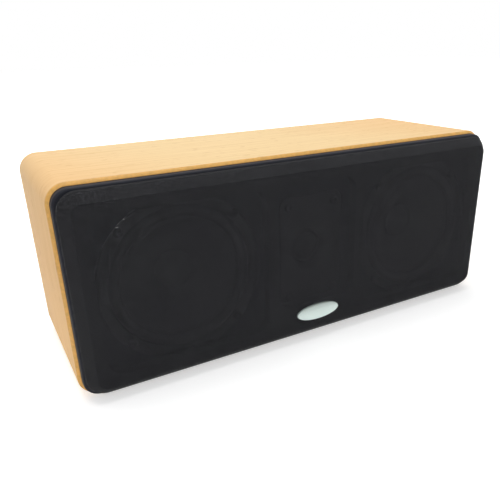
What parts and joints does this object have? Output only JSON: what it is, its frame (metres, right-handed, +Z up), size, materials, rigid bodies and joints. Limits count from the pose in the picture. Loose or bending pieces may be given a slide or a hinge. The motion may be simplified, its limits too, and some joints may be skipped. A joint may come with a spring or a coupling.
{
  "type": "center channel speaker",
  "caption": "Low, wide loudspeaker in a round-cornered pale wood cabinet, with woofers either side of a tweeter behind a chamfered black cloth grille and screw terminals at the back.",
  "frame": {"origin": "centre of the bounding box at the cabinet's underside", "axes": "+X along the width, to the right as seen from the front; +Y towards the back; +Z up"},
  "size_m": [0.432, 0.1624, 0.174],
  "materials": {
    "veneer": "satin lacquered pale veneer",
    "black_board": "satin black paint on fibreboard",
    "grille_cloth": "black acoustic knit",
    "black_plastic": "satin moulded",
    "red_plastic": "moulded",
    "white_plastic": "matt",
    "yellow_plastic": "film wrap",
    "rubber": "smooth",
    "foam": "closed-cell foam",
    "wadding": "fluffy polyester",
    "cone": "coated pulp",
    "spider": "resin-treated cloth",
    "silk": "coated silk",
    "coil": "enamelled copper wire",
    "steel": "zinc plated",
    "black_steel": "black",
    "ferrite": "dull grey ferrite",
    "brass": "gold plated",
    "badge_metal": "satin, bare",
    "circuit_board": "solder mask",
    "wire": "insulation"
  },
  "bodies": {
    "cabinet": {"cabinet_wrap": "veneer", "front_baffle": "black_board", "rear_panel": "black_board", "grille_sockets": "rubber", "woofer_screws": "black_steel", "woofer_terminals": "brass", "left_woofer_basket": "black_steel", "left_woofer_trim_ring": "black_plastic", "left_woofer_surround": "rubber", "left_woofer_spider": "spider", "left_woofer_top_plate": "steel", "left_woofer_magnet": "ferrite", "left_woofer_yoke": "steel", "right_woofer_basket": "black_steel", "right_woofer_trim_ring": "black_plastic", "right_woofer_surround": "rubber", "right_woofer_spider": "spider", "right_woofer_top_plate": "steel", "right_woofer_magnet": "ferrite", "right_woofer_yoke": "steel", "tweeter_faceplate": "black_plastic", "tweeter_surround": "silk", "tweeter_top_plate": "steel", "tweeter_magnet": "ferrite", "tweeter_yoke": "steel", "tweeter_terminals": "brass", "tweeter_screws": "black_steel", "terminal_cup": "black_plastic", "terminal_cup_gasket": "foam", "terminal_cup_screws": "black_steel", "post_studs": "brass", "post_collars": "black_plastic", "post_nuts": "brass", "crossover_board": "circuit_board", "crossover_spacers": "white_plastic", "crossover_screws": "steel", "woofer_inductor": "coil", "tweeter_inductor": "coil", "crossover_capacitors": "yellow_plastic", "crossover_resistor": "white_plastic", "damping_pads": "wadding", "internal_wiring": "wire"},
    "grille": {"grille_frame": "black_board", "grille_cloth": "grille_cloth", "grille_pegs": "black_plastic", "badge": "badge_metal"},
    "left_cone": {"left_woofer_cone": "cone", "left_woofer_dust_cap": "cone", "left_woofer_voice_coil": "coil"},
    "right_cone": {"right_woofer_cone": "cone", "right_woofer_dust_cap": "cone", "right_woofer_voice_coil": "coil"},
    "dome": {"tweeter_dome": "silk", "tweeter_voice_coil": "coil"},
    "red_clamp": {"red_post_washer": "brass"},
    "red_knob": {"red_post_knob": "red_plastic"},
    "black_clamp": {"black_post_washer": "brass"},
    "black_knob": {"black_post_knob": "black_plastic"}
  },
  "joints": [
    {"name": "grille_pull", "type": "slide", "parent": "cabinet", "child": "grille", "axis": [0, -1, 0], "range_m": [0, 0.03]},
    {"name": "left_cone_travel", "type": "slide", "parent": "cabinet", "child": "left_cone", "axis": [0, -1, 0], "range_m": [-0.004, 0.004], "stiffness_N_per_m": 1000, "deforming": ["left_woofer_surround", "left_woofer_spider"]},
    {"name": "right_cone_travel", "type": "slide", "parent": "cabinet", "child": "right_cone", "axis": [0, -1, 0], "range_m": [-0.004, 0.004], "stiffness_N_per_m": 1000, "deforming": ["right_woofer_surround", "right_woofer_spider"]},
    {"name": "dome_travel", "type": "slide", "parent": "cabinet", "child": "dome", "axis": [0, -1, 0], "range_m": [-0.0004, 0.0004], "stiffness_N_per_m": 1500, "deforming": ["tweeter_surround"]},
    {"name": "red_clamp_travel", "type": "slide", "parent": "cabinet", "child": "red_clamp", "axis": [0, 1, 0], "range_m": [0, 0.006]},
    {"name": "red_knob_turn", "type": "hinge", "parent": "red_clamp", "child": "red_knob", "pos_m": [0.00953, 0.0665, 0.087], "axis": [0, 1, 0], "range_deg": [0, 2161]},
    {"name": "black_clamp_travel", "type": "slide", "parent": "cabinet", "child": "black_clamp", "axis": [0, 1, 0], "range_m": [0, 0.006]},
    {"name": "black_knob_turn", "type": "hinge", "parent": "black_clamp", "child": "black_knob", "pos_m": [-0.00953, 0.0665, 0.087], "axis": [0, 1, 0], "range_deg": [0, 2161]}
  ],
  "couplings": [
    {"joint": "red_knob_turn", "follows": "red_clamp_travel", "rad_per_m": 6283.2},
    {"joint": "black_knob_turn", "follows": "black_clamp_travel", "rad_per_m": 6283.2}
  ]
}
